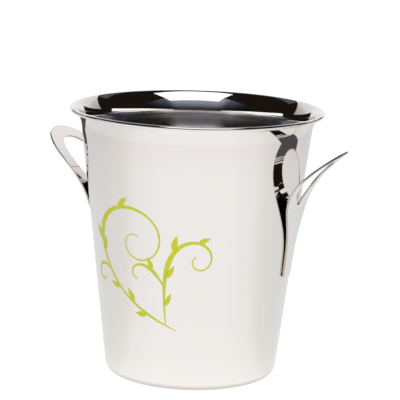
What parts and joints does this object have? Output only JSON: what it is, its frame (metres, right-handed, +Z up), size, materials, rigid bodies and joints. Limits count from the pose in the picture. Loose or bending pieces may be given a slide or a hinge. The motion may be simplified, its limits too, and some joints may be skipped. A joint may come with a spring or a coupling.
{
  "type": "champagne bucket",
  "caption": "Tapered open bucket in polished steel with a flared, beaded rim and bent ring handles, for chilling a bottle in ice.",
  "frame": {"origin": "centre of the base, on the surface that the bucket stands on", "axes": "+Z up along the bucket's axis; +X towards the right handle, so the handles lie on +X and -X"},
  "size_m": [0.2464, 0.2, 0.212],
  "materials": {
    "polished_steel": "stainless steel sheet and plate, mirror polished",
    "braze_filler": "silver braze filler, cleaned and satin",
    "lime_ink": "screen-printed lime green ink, a printed flourish on the front of the wall"
  },
  "bodies": {
    "root": {"bucket_shell": "polished_steel", "right_handle": "polished_steel", "left_handle": "polished_steel", "right_handle_braze": "braze_filler", "left_handle_braze": "braze_filler"}
  },
  "joints": []
}
